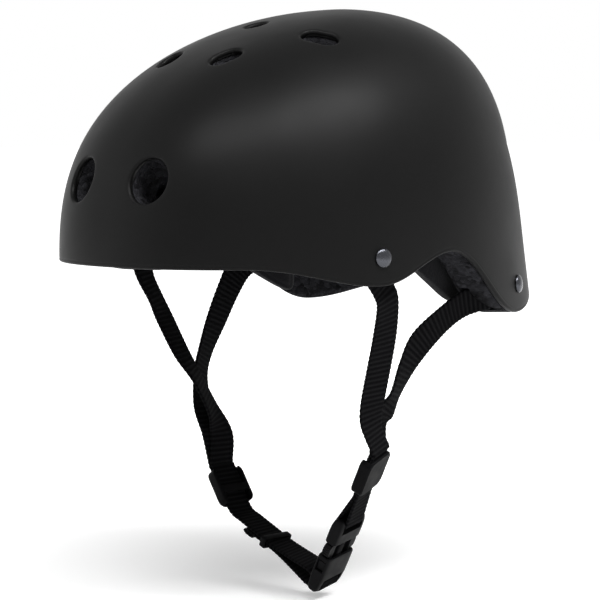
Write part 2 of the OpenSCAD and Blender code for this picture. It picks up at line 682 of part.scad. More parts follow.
outer_shell();
foam_liner();
strap_rivets();
rivet_washers();
brow_pad();
crown_pad();
side_pad_left();
side_pad_right();
rear_pad_left();
rear_pad_right();
nape_pad();
pad_discs();
strap_left_front();
strap_left_rear();
strap_right_front();
strap_right_rear();
strap_right_stack();
chin_strap_left();
chin_strap_right();
slider_left();
slider_right();
buckle_socket();
buckle_base();
prong_front();
prong_rear();
strap_keeper();
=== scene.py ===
import math
import bmesh
import bpy
import numpy as np
from mathutils import Matrix, Vector
from mathutils.geometry import delaunay_2d_cdt


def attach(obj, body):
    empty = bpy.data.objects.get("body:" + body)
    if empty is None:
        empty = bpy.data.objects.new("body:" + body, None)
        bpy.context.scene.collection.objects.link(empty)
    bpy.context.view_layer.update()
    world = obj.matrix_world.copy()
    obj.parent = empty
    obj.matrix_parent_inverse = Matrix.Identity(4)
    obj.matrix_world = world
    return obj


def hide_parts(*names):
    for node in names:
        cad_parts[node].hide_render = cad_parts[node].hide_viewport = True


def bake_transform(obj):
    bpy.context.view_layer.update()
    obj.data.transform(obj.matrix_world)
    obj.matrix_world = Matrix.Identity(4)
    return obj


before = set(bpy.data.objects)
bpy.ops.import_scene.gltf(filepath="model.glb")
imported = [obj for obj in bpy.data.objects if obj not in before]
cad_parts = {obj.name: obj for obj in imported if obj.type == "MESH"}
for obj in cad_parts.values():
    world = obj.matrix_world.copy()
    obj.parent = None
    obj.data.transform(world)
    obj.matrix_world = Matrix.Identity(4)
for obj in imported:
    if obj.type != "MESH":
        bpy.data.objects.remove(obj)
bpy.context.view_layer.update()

# Everything is worked out in millimetres and written to the meshes in metres.
MM = 0.001

# The helmet's own sizes, the same as the solids have
SHELL_W, FRONT_L, REAR_L, CROWN_H, CROWN_SHIFT = 207.0, 133.0, 135.0, 135.5, 31.0
NAPE_FLARE, FLARE_Z = 0.218, 60.0
SIDE_CURVE, FRONT_CURVE, REAR_CURVE = (2.63, 2.34), (3.0, 1.76), (2.53, 2.1)
FRONT_SQUARE, REAR_SQUARE = 2.4, 2.0
EAR_DROP, ARCH_RISE, TAB_DROP, NAPE_DROP = 10.5, 5.0, 32.0, 10.0
BRIM_END, EAR_AT, ARCH_AT, TAB_AT = 36.0, 72.0, 100.0, 136.0
SHELL_T, LINER_PLAY, LINER_T, PAD_T = 3.0, 0.3, 18.0, 9.0
LINER_OUT = SHELL_T + LINER_PLAY
LINER_IN = LINER_OUT + LINER_T
WEB_W, WEB_T = 17.0, 1.6


# The shape of the head

def profile(s, curve):
    return np.maximum(1e-9, 1 - s ** curve[0]) ** (1 / curve[1])


def rise(z, inset):
    return np.clip(z / (CROWN_H - inset), 0, 1)


def reach(phi, z, inset):
    s = rise(z, inset)
    half = (SHELL_W / 2 - inset) * profile(s, SIDE_CURVE)
    front = (FRONT_L - inset) * profile(s, FRONT_CURVE)
    rear = (REAR_L - inset) * profile(s, REAR_CURVE) + NAPE_FLARE * np.maximum(0, FLARE_Z - z)
    across, ahead = np.abs(np.sin(phi)), np.abs(np.cos(phi))
    is_front = np.cos(phi) >= 0
    length = np.where(is_front, front, rear)
    square = np.where(is_front, FRONT_SQUARE, REAR_SQUARE)
    return ((across / half) ** square + (ahead / length) ** square) ** (-1 / square)


def dome(degrees, z, inset=0.0):
    """Points of the dome at an angle from the front and a height, so far inside the outer face."""
    phi, z = np.radians(np.asarray(degrees, float)), np.asarray(z, float)
    r, s = reach(phi, z, inset), rise(z, inset)
    return np.stack([r * np.sin(phi), CROWN_SHIFT * s * s - r * np.cos(phi), z + 0 * phi], -1)


def unit(v):
    return v / np.linalg.norm(v, axis=-1, keepdims=True)


def dome_out(degrees, z):
    """The direction straight out of the dome's outer face."""
    return unit(np.cross(dome(degrees + 0.5, z) - dome(degrees - 0.5, z),
                         dome(degrees, z + 0.2) - dome(degrees, z - 0.2)))


def depth_in(p, inset):
    """How far each point lies outside the dome, measured level; below 0 is inside."""
    s = rise(p[..., 2], inset)
    back = p[..., 1] - CROWN_SHIFT * s * s
    phi = np.arctan2(p[..., 0], -back)
    out = np.hypot(p[..., 0], back) - reach(phi, p[..., 2], inset)
    return np.where(p[..., 2] >= CROWN_H - inset, 1.0, out)


def rim(degrees):
    """Height of the shell's lower edge."""
    f = np.abs((np.asarray(degrees, float) + 180) % 360 - 180)
    spots = [(BRIM_END, 0.0), (EAR_AT, -EAR_DROP), (ARCH_AT, ARCH_RISE),
             (TAB_AT, -TAB_DROP), (180.0, -NAPE_DROP)]
    out = np.zeros_like(f)
    for (a, low), (b, high) in zip(spots, spots[1:]):
        x = np.clip((f - a) / (b - a), 0, 1)
        out = np.where(f >= a, low + (high - low) * (1 - np.cos(np.pi * x)) / 2, out)
    return out


def frame_on_dome(degrees, z):
    """Origin and axes of a spot on the dome: u down the dome, v level, n outwards."""
    n = dome_out(np.array(degrees, float), np.array(z, float))
    a, b = math.acos(n[2]), math.atan2(n[1], n[0])
    u = np.array([math.cos(b) * math.cos(a), math.sin(b) * math.cos(a), -math.sin(a)])
    v = np.array([-math.sin(b), math.cos(b), 0.0])
    return dome(degrees, z), u, v, n


# How far below and above a vent's middle its edge may lie, and how often that span is halved
VENT_BELOW, VENT_ABOVE, HALVINGS = 34.0, 12.0, 34


class Vent:
    """A hole through shell and liner: round, or an oval with half-round ends."""
    def __init__(self, degrees, share, width, extra=0.0, turned=0.0):
        self.at, down, level, self.n = frame_on_dome(degrees, share * CROWN_H)
        c, s = math.cos(math.radians(turned)), math.sin(math.radians(turned))
        self.u, self.v = c * down + s * level, c * level - s * down
        self.r, self.half = width / 2, extra / 2

    def outline(self, offset, steps=20):
        caps, r = [], self.r + offset
        for side, start in ((1, -90), (-1, 90)):
            for k in range(steps + bool(self.half)):
                t = math.radians(start + 180 * k / steps)
                caps.append((side * self.half + r * math.cos(t), r * math.sin(t)))
        return np.array(caps)

    def away(self, uv):
        return np.hypot(np.maximum(np.abs(uv[..., 0]) - self.half, 0), uv[..., 1]) - self.r

    def local(self, p):
        d = p - self.at
        return np.stack([d @ self.u, d @ self.v], -1), d @ self.n

    def on_surface(self, uv, inset):
        """Points where lines along the vent meet the dome."""
        base = self.at + uv[:, :1] * self.u + uv[:, 1:] * self.v
        low, high = np.full(len(uv), -VENT_BELOW), np.full(len(uv), VENT_ABOVE)
        for _ in range(HALVINGS):
            mid = (low + high) / 2
            inside = depth_in(base + mid[:, None] * self.n, inset) < 0
            low, high = np.where(inside, mid, low), np.where(inside, high, mid)
        return base + low[:, None] * self.n


# Each vent: angle from the front, share of the crown height, width, extra length, and how far the oval turns
BROW_VENT = (12.3, 0.327, 24.0, 0.0, 0)
UPPER_VENT = (14.8, 0.79, 13.5, 4.0, -40)
SIDE_VENT = (45, 0.864, 13.0, 7.0, 62)
UPPER_REAR_VENT = (161, 0.8, 13.5, 4.0, 40)
REAR_VENT = (167, 0.45, 24.0, 0.0, 0)
CENTRE_VENT = (0, 0.926, 13.0)
VENTS = [Vent(side * a, share, w, extra, side * turned) for side in (1, -1)
         for a, share, w, extra, turned in (BROW_VENT, UPPER_VENT, SIDE_VENT, UPPER_REAR_VENT, REAR_VENT)]
VENTS.append(Vent(*CENTRE_VENT))


class Skin:
    """Gathers points and faces for one mesh."""
    def __init__(self):
        self.points, self.faces = [], []

    def add(self, pts):
        start = len(self.points)
        self.points.extend(np.asarray(pts, float).tolist())
        return list(range(start, len(self.points)))

    def strip(self, a, b, closed=True):
        n = len(a)
        for i in range(n if closed else n - 1):
            j = (i + 1) % n
            self.faces.append((a[i], a[j], b[j], b[i]))

    def rows(self, rings, closed=True):
        for a, b in zip(rings, rings[1:]):
            self.strip(a, b, closed)

    def fan(self, ring, tip):
        for i in range(len(ring)):
            self.faces.append((ring[i], ring[(i + 1) % len(ring)], tip))

    def tube(self, rings, flipped=False):
        """Joins rings in a row and closes both ends."""
        self.rows(rings)
        turn_over = -1 if flipped else 1
        self.faces.append(tuple(rings[0][::-turn_over]))
        self.faces.append(tuple(rings[-1][::turn_over]))

    def mesh(self, name, smooth=True):
        data = bpy.data.meshes.new(name)
        data.from_pydata([tuple(c * MM for c in p) for p in self.points], [], self.faces)
        data.update()
        if smooth:
            shade_smooth(data)
        return data

    def piece(self, name, smooth=True):
        """Places the mesh with all its faces turned outwards."""
        obj = place(name, self.mesh(name, smooth))
        outward(obj.data)
        return obj


def shade_smooth(data):
    data.polygons.foreach_set("use_smooth", [True] * len(data.polygons))


def place(name, data):
    obj = bpy.data.objects.new(name, data)
    bpy.context.scene.collection.objects.link(obj)
    return obj


# Points round the dome and rows up it, and the angles of the points
COLS, ROWS = 240, 64
ROUND = np.arange(COLS) * 360 / COLS
# Round a vent the even grid stops this far out, and one more ring lies this far from the edge
GRID_STOPS, NEXT_RING = 3.4, 1.5
# A grid point this far from a vent along its line lies on the dome's other side
FAR_SIDE = 16
# Points this near count as one, and a triangle whose middle is this far past a vent's edge lies in the vent
MERGE, SLACK = 1e-5, 0.02


def pierced_dome(skin, low, inset, faces_out, edge):
    """Adds a dome above its lowest heights with the vents left open; gives its lowest row and their rings."""
    def put(face):
        skin.faces.append(face if faces_out else face[::-1])

    first, above = len(skin.points), CROWN_H - inset - low
    grid = [skin.add(dome(ROUND, low + above * math.sin(math.pi / 2 * k / ROWS), inset)) for k in range(ROWS)]
    pts = np.array(skin.points[first:])
    tip = skin.add([[0, CROWN_SHIFT, CROWN_H - inset]])[0]
    owner = np.full(len(pts), -1)
    for m, vent in enumerate(VENTS):
        uv, t = vent.local(pts)
        owner[(vent.away(uv) < edge + GRID_STOPS) & (np.abs(t + inset) < FAR_SIDE)] = m
    lost = [[] for _ in VENTS]
    for lower, upper in zip(grid, grid[1:]):
        for i in range(COLS):
            j = (i + 1) % COLS
            face = (lower[i], lower[j], upper[j], upper[i])
            marks = [owner[c - first] for c in face if owner[c - first] >= 0]
            if marks:
                lost[marks[0]].append(face)
            else:
                put(face)
    for i in range(COLS):
        put((grid[-1][i], grid[-1][(i + 1) % COLS], tip))
    rings = []
    for vent, faces in zip(VENTS, lost):
        seen = {pair for f in faces for pair in zip(f, f[1:] + f[:1])}
        after = {a: b for a, b in seen if (b, a) not in seen}
        loop = [next(iter(after))]
        while after[loop[-1]] != loop[0]:
            loop.append(after[loop[-1]])
        loop_uv = vent.local(np.array([skin.points[c] for c in loop]))[0]
        rounds = [vent.outline(edge), vent.outline(edge + NEXT_RING)]
        new = [skin.add(vent.on_surface(o, inset)) for o in rounds]
        ids = loop + new[0] + new[1]
        flat = [Vector(p) for p in np.vstack([loop_uv] + rounds).tolist()]
        edges, base = [], 0
        for ring in (loop, new[0], new[1]):
            edges += [(base + i, base + (i + 1) % len(ring)) for i in range(len(ring))]
            base += len(ring)
        spots, _, triangles, sources = delaunay_2d_cdt(flat, edges, [], 0, MERGE)[:4]
        for f in triangles:
            c = sum((spots[i] for i in f), Vector((0, 0))) / 3
            if vent.away(np.array([c.x, c.y])) >= edge - SLACK and inside_loop(c, loop_uv):
                put(tuple(ids[sources[i][0]] for i in f))
        rings.append(new[0])
    return grid[0], rings


def inside_loop(c, loop):
    """Whether a point lies inside a closed outline."""
    x, y = loop[:, 0], loop[:, 1]
    x2, y2 = np.roll(x, -1), np.roll(y, -1)
    crosses = (y > c.y) != (y2 > c.y)
    with np.errstate(divide="ignore", invalid="ignore"):
        at = x + (c.y - y) * (x2 - x) / (y2 - y)
    return bool(np.count_nonzero(crosses & (c.x < at)) % 2)


# The shell, with rolled vent edges and a beaded rim

def down_edge(skin, last, low, section):
    """Adds rows along the lower edge, each from its height above the rim and its depth."""
    for lift, inset in section:
        row = skin.add(dome(ROUND, low + lift, inset))
        skin.strip(row, last)
        last = row
    return last


def build_shell():
    skin = Skin()
    low = rim(ROUND)
    roll, roll_steps = 1.7, 6
    # The rim's section: height above the rim line and depth below the outer face
    bead = [(3.0, 0.0), (2.4, 0.01), (2.1, 0.07), (1.8, 0.08), (1.5, 0.01), (1.2, -0.02), (0.8, 0.0),
            (0.4, 0.2), (0.12, 0.55), (0.0, 1.0), (0.0, 2.4), (0.3, 2.9), (1.0, SHELL_T)]
    last, rings = pierced_dome(skin, low + bead[0][0], 0.0, True, roll)
    last = down_edge(skin, last, low, bead[1:])
    inner_row, inner_rings = pierced_dome(skin, low + 2.0, SHELL_T, False, 0.0)
    skin.strip(inner_row, last)
    for vent, top, bottom in zip(VENTS, rings, inner_rings):
        last = top
        for k in range(1, roll_steps + 1):
            a = math.pi / 2 * k / roll_steps
            uv = vent.outline(roll * (1 - math.sin(a)))
            ring = skin.add(vent.on_surface(uv, 0.0) - roll * (1 - math.cos(a)) * vent.n)
            skin.strip(last, ring)
            last = ring
        skin.strip(last, bottom)
    return skin.mesh("helmet_shell")


# The liner: one foam moulding with through vents and a rounded lower edge

def build_liner():
    skin = Skin()
    low = rim(ROUND)
    bevel, vent_play = 0.8, 0.2
    last, rings = pierced_dome(skin, low + bevel, LINER_OUT, True, vent_play)
    last = down_edge(skin, last, low, (
        (0.0, LINER_OUT + bevel), (0.0, LINER_IN - 4.0), (0.6, LINER_IN - 1.8), (1.9, LINER_IN - 0.5),
        (3.4, LINER_IN)))
    inner_row, inner_rings = pierced_dome(skin, low + 4.4, LINER_IN, False, vent_play)
    skin.strip(inner_row, last)
    for top, bottom in zip(rings, inner_rings):
        skin.strip(top, bottom)
    return skin.mesh("foam_core")


# The webbing, along the same control points as the solids have

def mix(a, b, x):
    return np.asarray(a, float) + (np.asarray(b, float) - np.asarray(a, float)) * x


def turn(axis, degrees):
    return np.array(Matrix.Rotation(math.radians(degrees), 3, axis))


# Rivets as angle from the front and height, and how deep the webbing's middle lies under them
FRONT_RIVET, REAR_RIVET = (72.4, 4.0), (136.7, -16.5)
WEB_DEPTH = SHELL_T + 0.6 + WEB_T / 2
# The buckle, the sliders and their directions
LATCH_AT = np.array([20.0, 0.0, -181.0])
LATCH_TURN = turn("Y", 29) @ turn("Z", 14)
LEFT_AT, RIGHT_AT = np.array([61.6, -3.0, -112.8]), np.array([-58.4, 0.0, -136.0])
LEFT_TURN = turn("Y", 32) @ turn("X", 5) @ turn("Z", 20)
RIGHT_TURN = turn("Y", -35)
SLIDER_L, CHANNEL_W = 23.0, WEB_W + 1
# Each layer's distance from a slider's middle, and how far it runs straight above or below that
STACK_X, RUN_UP = WEB_T / 2 + 0.15, SLIDER_L / 2 + 3.7


def on_latch(p):
    return LATCH_AT + LATCH_TURN @ np.asarray(p, float)


def seat(spot, side, ahead, down):
    """Where the webbing lies near its rivet, and the way it faces there."""
    at = (spot[0] + ahead, spot[1] - down)
    p, n, flip = dome(*at), dome_out(*at), np.array([side, 1, 1])
    return (p - WEB_DEPTH * n) * flip, n * flip


def side_route(spot, side, seats, sags, angles, shift, slider_place, layer):
    route, faces = map(list, zip(*[seat(spot, side, *s) for s in seats]))
    at, out, up = slider_place
    anchor, meet = route[-1], at + shift
    route += [mix(anchor, meet, s[0]) + np.array(s[1:]) for s in sags] + [meet]
    faces += [side * np.array([math.cos(math.radians(a)), math.sin(math.radians(a)), 0]) for a in angles]
    route += [at + out * layer + up * z for z in (RUN_UP, RUN_UP - 2, RUN_UP / 2, 0.2)]
    widths = [unit(np.cross(faces[i], route[i + 1] - route[max(i - 1, 0)])) for i in range(len(faces))]
    widths += [np.cross(up, out)] * 5
    return route, widths


LEFT_OUT, LEFT_UP = LEFT_TURN[:, 0], LEFT_TURN[:, 2]
RIGHT_OUT, RIGHT_UP = -RIGHT_TURN[:, 0], RIGHT_TURN[:, 2]
LEFT_PLACE, RIGHT_PLACE = (LEFT_AT, LEFT_OUT, LEFT_UP), (RIGHT_AT, RIGHT_OUT, RIGHT_UP)

# Each strap: its rivet and side, the places under the shell as angle ahead and drop, the points on the way
# down as a share of it and a shift, the angles that the webbing faces there, and where it nears its slider
LEFT_FRONT = side_route(
    FRONT_RIVET, 1, ((0, -8), (0, 8)),
    ((0.09, -0.6, 4.2, 0), (0.19, 1.9, 5.6, 0.7), (0.39, 0.8, 5.3, 0.9), (0.59, -0.4, 3, 1),
     (0.79, -1.6, 0.4, 1), (0.9, -1.8, -0.6, 0.3)),
    (9, 4, -2, -3, -3, 2), (9.7, -6.9, 21.8), LEFT_PLACE, STACK_X)
LEFT_REAR = side_route(
    REAR_RIVET, 1, ((5, 0), (-4, 0.8)),
    ((0.11, 2.4, -4.3, 4.5), (0.24, -0.2, -8.9, 9.4), (0.38, 0.4, -11.6, 12.1), (0.56, 1, -12.4, 13.1),
     (0.69, 0.7, -9.6, 10), (0.82, -0.2, -4.7, 5), (0.91, -1.6, -1.2, 2.5)),
    (34, 32, 22, 5, 18, 30, 20), (3.4, 2.5, 22.8), LEFT_PLACE, -STACK_X)
RIGHT_FRONT = side_route(
    FRONT_RIVET, -1, ((0, -8), (0, 8)),
    ((0.09, -0.9, -2.3, -1.2), (0.21, -0.6, -2, -1.4), (0.34, -0.5, -2.6, -0.5),
     (0.52, 5.7, -6.1, -0.8), (0.67, 6.8, -4.6, 0.4), (0.86, 4, -1.9, 1.1)),
    (20, 26, 18, 22, 38, 36), (-9.4, 1.4, 29), RIGHT_PLACE, -STACK_X)
RIGHT_REAR = side_route(
    REAR_RIVET, -1, ((5, 0), (-4, -2)),
    ((0.06, 0.5, -12, 11.2), (0.13, 6.6, -21.5, 21.6), (0.19, 3.4, -27, 26), (0.27, 0.4, -30.2, 28.4),
     (0.39, -1.8, -29.1, 26.3), (0.53, -6, -24.8, 22.2), (0.69, -10.8, -18.1, 19), (0.82, -9, -14.1, 17.8),
     (0.94, -4.1, -8.4, 10.6)),
    (-34, -32, -22, -14, 0, 8, 24, 24, 12), (-12.2, -2.6, 30), RIGHT_PLACE, STACK_X)


def smooth(p, steps):
    """A curve through the control points, with so many steps between two."""
    p = [np.asarray(q, float) for q in p]
    n, out = len(p) - 1, []
    for i in range(n):
        a, b, c, d = p[max(i - 1, 0)], p[i], p[i + 1], p[min(i + 2, n)]
        for k in range(steps):
            x = k / steps
            out.append(0.5 * (2 * b + (c - a) * x + (2 * a - 5 * b + 4 * c - d) * x * x
                              + (3 * b - a - 3 * c + d) * x ** 3))
    return out + [p[-1]]


def even(points, widths, step):
    """The same curve with points at even distances."""
    points, widths = np.array(points), np.array(widths)
    gone = np.r_[0, np.cumsum(np.linalg.norm(np.diff(points, axis=0), axis=1))]
    at = np.linspace(0, gone[-1], max(2, int(round(gone[-1] / step)) + 1))
    points, widths = [np.stack([np.interp(at, gone, column) for column in v.T], -1) for v in (points, widths)]
    return points, unit(widths), at


# The webbing's cross ribs, and how far its edges draw in between them
RIB_PITCH, RIB_STEPS, RIB_HIGH, SCALLOP = 2.8, 7, 0.15, 0.28


def webbing_mesh(name, points, widths):
    """Woven strap: cross ribs and a firm selvedge, with a map of its length and width in metres."""
    points, widths, at = even(points, widths, RIB_PITCH / RIB_STEPS)
    along = unit(np.gradient(points, axis=0))
    out = unit(np.cross(along, widths))
    cols, thins_from, thins_by, edge_from = 10, 0.93, 0.75, 0.9
    across = [math.sin(math.pi / 2 * (2 * k / cols - 1)) for k in range(cols + 1)]
    shape = [(x, 1) for x in across] + [(x, -1) for x in across[::-1]]
    skin, rings = Skin(), []
    for p, side, n, s in zip(points, widths, out, at):
        rib = 0.5 + 0.5 * math.cos(2 * math.pi * s / RIB_PITCH)
        ring = []
        for x, face in shape:
            edge = abs(x)
            flat = 1 - thins_by * max(0, (edge - thins_from) / (1 - thins_from)) ** 2
            high = (WEB_T / 2 - RIB_HIGH * rib * (1 if edge < edge_from else 0.25)) * flat
            wide = WEB_W / 2 - SCALLOP * rib * (edge > edge_from)
            ring.append(p + side * wide * x + n * face * high)
        rings.append(skin.add(ring))
    skin.tube(rings, True)
    data = skin.mesh(name)
    uv = data.uv_layers.new(name="Weave")
    for loop in data.loops:
        row, col = divmod(loop.vertex_index, len(shape))
        uv.data[loop.index].uv = (at[row] * MM, shape[col][0] * WEB_W / 2 * MM)
    return data


# Small tools for moulded pieces

def outward(data):
    """Turns every face of a closed mesh outwards."""
    bm = bmesh.new()
    bm.from_mesh(data)
    bmesh.ops.remove_doubles(bm, verts=bm.verts, dist=1e-7)
    bmesh.ops.recalc_face_normals(bm, faces=bm.faces)
    bm.to_mesh(data)
    bm.free()


def baked(obj):
    """Applies the object's modifiers to its mesh."""
    bpy.context.view_layer.update()
    made = bpy.data.meshes.new_from_object(obj.evaluated_get(bpy.context.evaluated_depsgraph_get()))
    obj.modifiers.clear()
    obj.data = made
    return obj


def cut(obj, cutters, solver):
    for c in cutters:
        mod = obj.modifiers.new("Cut", "BOOLEAN")
        mod.operation, mod.object, mod.solver = "DIFFERENCE", c, solver
    baked(obj)
    for c in cutters:
        bpy.data.objects.remove(c)


def block(low, high):
    """A plain cutting block."""
    skin = Skin()
    (a, b, c), (d, e, f) = low, high
    skin.add([[a, b, c], [d, b, c], [d, e, c], [a, e, c], [a, b, f], [d, b, f], [d, e, f], [a, e, f]])
    skin.faces = [(0, 3, 2, 1), (4, 5, 6, 7), (0, 1, 5, 4), (1, 2, 6, 5), (2, 3, 7, 6), (3, 0, 4, 7)]
    return place("cutter", skin.mesh("cutter", False))


def oval_ring(half_x, half_y, square, z, count=64):
    t = np.arange(count) * 2 * np.pi / count
    c, s = np.cos(t), np.sin(t)
    return np.stack([half_x * np.sign(c) * np.abs(c) ** (2 / square),
                     half_y * np.sign(s) * np.abs(s) ** (2 / square), np.full(count, z)], -1)


def loft(name, half_t, half_w, sections, count=64):
    """A closed body through level sections: height, shares of the half thickness and width, squareness."""
    skin = Skin()
    skin.tube([skin.add(oval_ring(half_t * a, half_w * b, q, z, count)) for z, a, b, q in sections])
    return place(name, skin.mesh(name))


def bar(z, count=32):
    """A strap bar across the buckle."""
    half, r = HALF_W - 1, BAR_D / 2
    skin, rings = Skin(), []
    t = np.arange(count) * 2 * np.pi / count
    for y, share in ((-half, 0.93), (-half + 0.15, 1), (half - 0.15, 1), (half, 0.93)):
        x, up = r * share * np.sin(t), r * share * np.cos(t)
        rings.append(skin.add(np.stack([x, np.full(count, y), z + up], -1)))
    skin.tube(rings)
    return place("bar", skin.mesh("bar"))


def joined(name, parts):
    """Makes one object from several, which keep their own closed surfaces."""
    bm = bmesh.new()
    for p in parts:
        bm.from_mesh(p.data)
        bpy.data.objects.remove(p)
    data = bpy.data.meshes.new(name)
    bm.to_mesh(data)
    bm.free()
    return place(name, data)


def eased(obj, width, segments=2, limit=38):
    """Rounds the moulded edges and keeps flat faces flat."""
    mod = obj.modifiers.new("Edges", "BEVEL")
    mod.width, mod.segments, mod.limit_method = width * MM, segments, "ANGLE"
    mod.angle_limit, mod.use_clamp_overlap = math.radians(limit), True
    baked(obj)
    shade_smooth(obj.data)
    mod = obj.modifiers.new("Shade", "WEIGHTED_NORMAL")
    mod.keep_sharp = True
    return baked(obj)


def moved(obj, at, rotation, mirrored=False):
    m = Matrix(rotation.tolist()).to_4x4()
    m.translation = Vector(at) * MM
    if mirrored:
        m = m @ Matrix.Diagonal((-1, 1, 1, 1))
    obj.data.transform(m)
    if mirrored:
        obj.data.flip_normals()
    return obj


# Finishes

def linear(text):
    """An sRGB hex colour as linear values."""
    parts = [int(text[i:i + 2], 16) / 255 for i in (1, 3, 5)]
    return tuple(c / 12.92 if c <= 0.04045 else ((c + 0.055) / 1.055) ** 2.4 for c in parts) + (1.0,)


def node(tree, kind, links=(), **settings):
    """Adds a node, sets its sockets and properties, and links its inputs."""
    made = tree.nodes.new(kind)
    for key, value in settings.items():
        if hasattr(made, key) and key not in made.inputs:
            setattr(made, key, value)
        else:
            made.inputs[key.replace("_", " ")].default_value = value
    for name, source in dict(links).items():
        tree.links.new(source, made.inputs[name])
    return made


def maths(tree, operation, *sources):
    return node(tree, "ShaderNodeMath", dict(enumerate(sources)), operation=operation).outputs[0]


def finish_of(name, base, rough, **sockets):
    """A material with a base colour and roughness, and other sockets of its shader by name."""
    material = bpy.data.materials.new(name)
    material.use_nodes = True
    tree = material.node_tree
    shader = tree.nodes["Principled BSDF"]
    shader.inputs["Base Color"].default_value = linear(base)
    shader.inputs["Roughness"].default_value = rough
    for key, value in sockets.items():
        shader.inputs[key.replace("_", " ")].default_value = value
    material.diffuse_color = linear(base)
    return material, tree, shader


def bumped(tree, shader, height, depth_mm, strength):
    b = node(tree, "ShaderNodeBump", {"Height": height}, Strength=strength, Distance=depth_mm * MM)
    tree.links.new(b.outputs["Normal"], shader.inputs["Normal"])


def own_place(tree):
    """A point's place on its own piece, in metres."""
    return node(tree, "ShaderNodeTexCoord").outputs["Object"]


def noise(tree, scale, detail):
    made = node(tree, "ShaderNodeTexNoise", {"Vector": own_place(tree)}, Scale=scale, Detail=detail)
    return made.outputs["Fac"]


def cells(tree, scale, what="Distance", feature="F1"):
    """A pattern of round cells: the distance from their middles or edges, or a tone for each."""
    made = node(tree, "ShaderNodeTexVoronoi", {"Vector": own_place(tree)}, feature=feature, Scale=scale)
    return made.outputs[what]


def two_tone(tree, shader, source, dark, light):
    """Runs the base colour from one tone to another by a pattern."""
    ramp = node(tree, "ShaderNodeValToRGB", {"Fac": source})
    ramp.color_ramp.elements[0].color = linear(dark)
    ramp.color_ramp.elements[1].color = linear(light)
    tree.links.new(ramp.outputs["Color"], shader.inputs["Base Color"])


def spread(tree, source, low, high, start=0.3, end=0.7):
    """Maps a pattern's value to a range."""
    return node(tree, "ShaderNodeMapRange", {"Value": source}, From_Min=start, From_Max=end,
                To_Min=low, To_Max=high).outputs["Result"]


def shell_paint():
    """ABS with a satin black spray coat: broad dull highlights, a faint grain of about 0.6 mm."""
    m, tree, shader = finish_of("ABS_satin_black", "#0a0a0a", 0.45, IOR=1.165)
    tree.links.new(spread(tree, noise(tree, 28.0, 4.0), 0.41, 0.48), shader.inputs["Roughness"])
    bumped(tree, shader, noise(tree, 1700.0, 3.0), 0.02, 0.35)
    return m


def foam_bead():
    """Expanded polystyrene: beads of about 2.4 mm pressed together, dull, with pale seams between them."""
    m, tree, shader = finish_of("EPS_dark_grey", "#1a1a1b", 0.9, IOR=1.12)
    two_tone(tree, shader, cells(tree, 420.0, "Color"), "#09090a", "#2b2b2e")
    seams = cells(tree, 420.0, feature="DISTANCE_TO_EDGE")
    bumped(tree, shader, spread(tree, seams, 0, 1, 0.0, 0.25), 0.35, 0.8)
    return m


def pad_cloth():
    """Brushed knit over foam: a soft nap with 1 mm loops and a pale sheen at the edges."""
    m, tree, shader = finish_of(
        "brushed_knit_black", "#0e0e10", 0.95, IOR=1.2, Sheen_Weight=0.06, Sheen_Roughness=0.5)
    two_tone(tree, shader, noise(tree, 420.0, 5.0), "#08080a", "#161619")
    bumped(tree, shader, cells(tree, 900.0), 0.25, 0.6)
    return m


def woven_nylon():
    """Nylon webbing: matt black yarn, cross ribs every 2.8 mm and warp threads of 0.7 mm between them; the
    rib tops carry a painted highlight and the grooves painted shade.
    """
    m, tree, shader = finish_of("nylon_webbing_black", "#070708", 0.78, IOR=1.08)
    where = node(tree, "ShaderNodeUVMap", uv_map="Weave").outputs["UV"]
    split = node(tree, "ShaderNodeSeparateXYZ", {"Vector": where})
    waves = []
    for axis, pitch, wave in (("Y", 0.7, "SINE"), ("X", RIB_PITCH, "COSINE")):
        angle = node(tree, "ShaderNodeMath", {0: split.outputs[axis]}, operation="MULTIPLY")
        angle.inputs[1].default_value = 2 * math.pi / (pitch * MM)
        waves.append(maths(tree, wave, angle.outputs[0]))
    warp, ribs_and_rib_shade = waves
    # Painted highlight and shade: the raised ribs are coloured lighter and the grooves between them darker.
    two_tone(tree, shader, spread(tree, ribs_and_rib_shade, 0, 1, -1, 1), "#141415", "#040405")
    bumped(tree, shader, maths(tree, "MULTIPLY", warp, ribs_and_rib_shade), 0.07, 0.7)
    return m


def moulded_black(name, base, rough):
    """Moulded acetal or rubber: smooth, with a fine spark-eroded grain that softens its shine."""
    m, tree, shader = finish_of(name, base, rough, IOR=1.11)
    wear = spread(tree, noise(tree, 120.0, 4.0), rough - 0.06, rough + 0.08)
    tree.links.new(wear, shader.inputs["Roughness"])
    bumped(tree, shader, noise(tree, 2600.0, 2.0), 0.02, 0.3)
    return m


def rolled_steel(name, base, rough):
    """Plated steel, with a fine haze that softens its highlight a little."""
    m, tree, shader = finish_of(name, base, rough, Metallic=1.0)
    haze = noise(tree, 900.0, 3.0)
    tree.links.new(spread(tree, haze, rough - 0.05, rough + 0.08), shader.inputs["Roughness"])
    bumped(tree, shader, haze, 0.03, 0.8)
    return m


def hook_tape():
    """Hook-and-loop tape: a mat of 0.5 mm nylon hooks, dull black."""
    m, tree, shader = finish_of("hook_tape_black", "#0c0c0d", 0.9, IOR=1.2)
    bumped(tree, shader, cells(tree, 1800.0), 0.3, 0.8)
    return m


PAINT, FOAM, CLOTH, WEB = shell_paint(), foam_bead(), pad_cloth(), woven_nylon()
BUCKLE = moulded_black("acetal_black", "#0c0c0d", 0.42)
SLIDER = moulded_black("acetal_slider_black", "#060607", 0.52)
RUBBER = moulded_black("rubber_black", "#0a0a0b", 0.6)
STEEL = rolled_steel("nickel_plated_steel", "#424347", 0.24)
WASHER = rolled_steel("zinc_plated_steel", "#77797b", 0.35)
HOOKS = hook_tape()


def dress(obj, material, body, slot, *nodes):
    """Gives a finished piece its material, its body and the solids that it stands for."""
    obj.data.materials.clear()
    obj.data.materials.append(material)
    if body:
        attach(obj, body)
    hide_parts(*nodes)
    return obj


# Shell, liner and webbing of the helmet

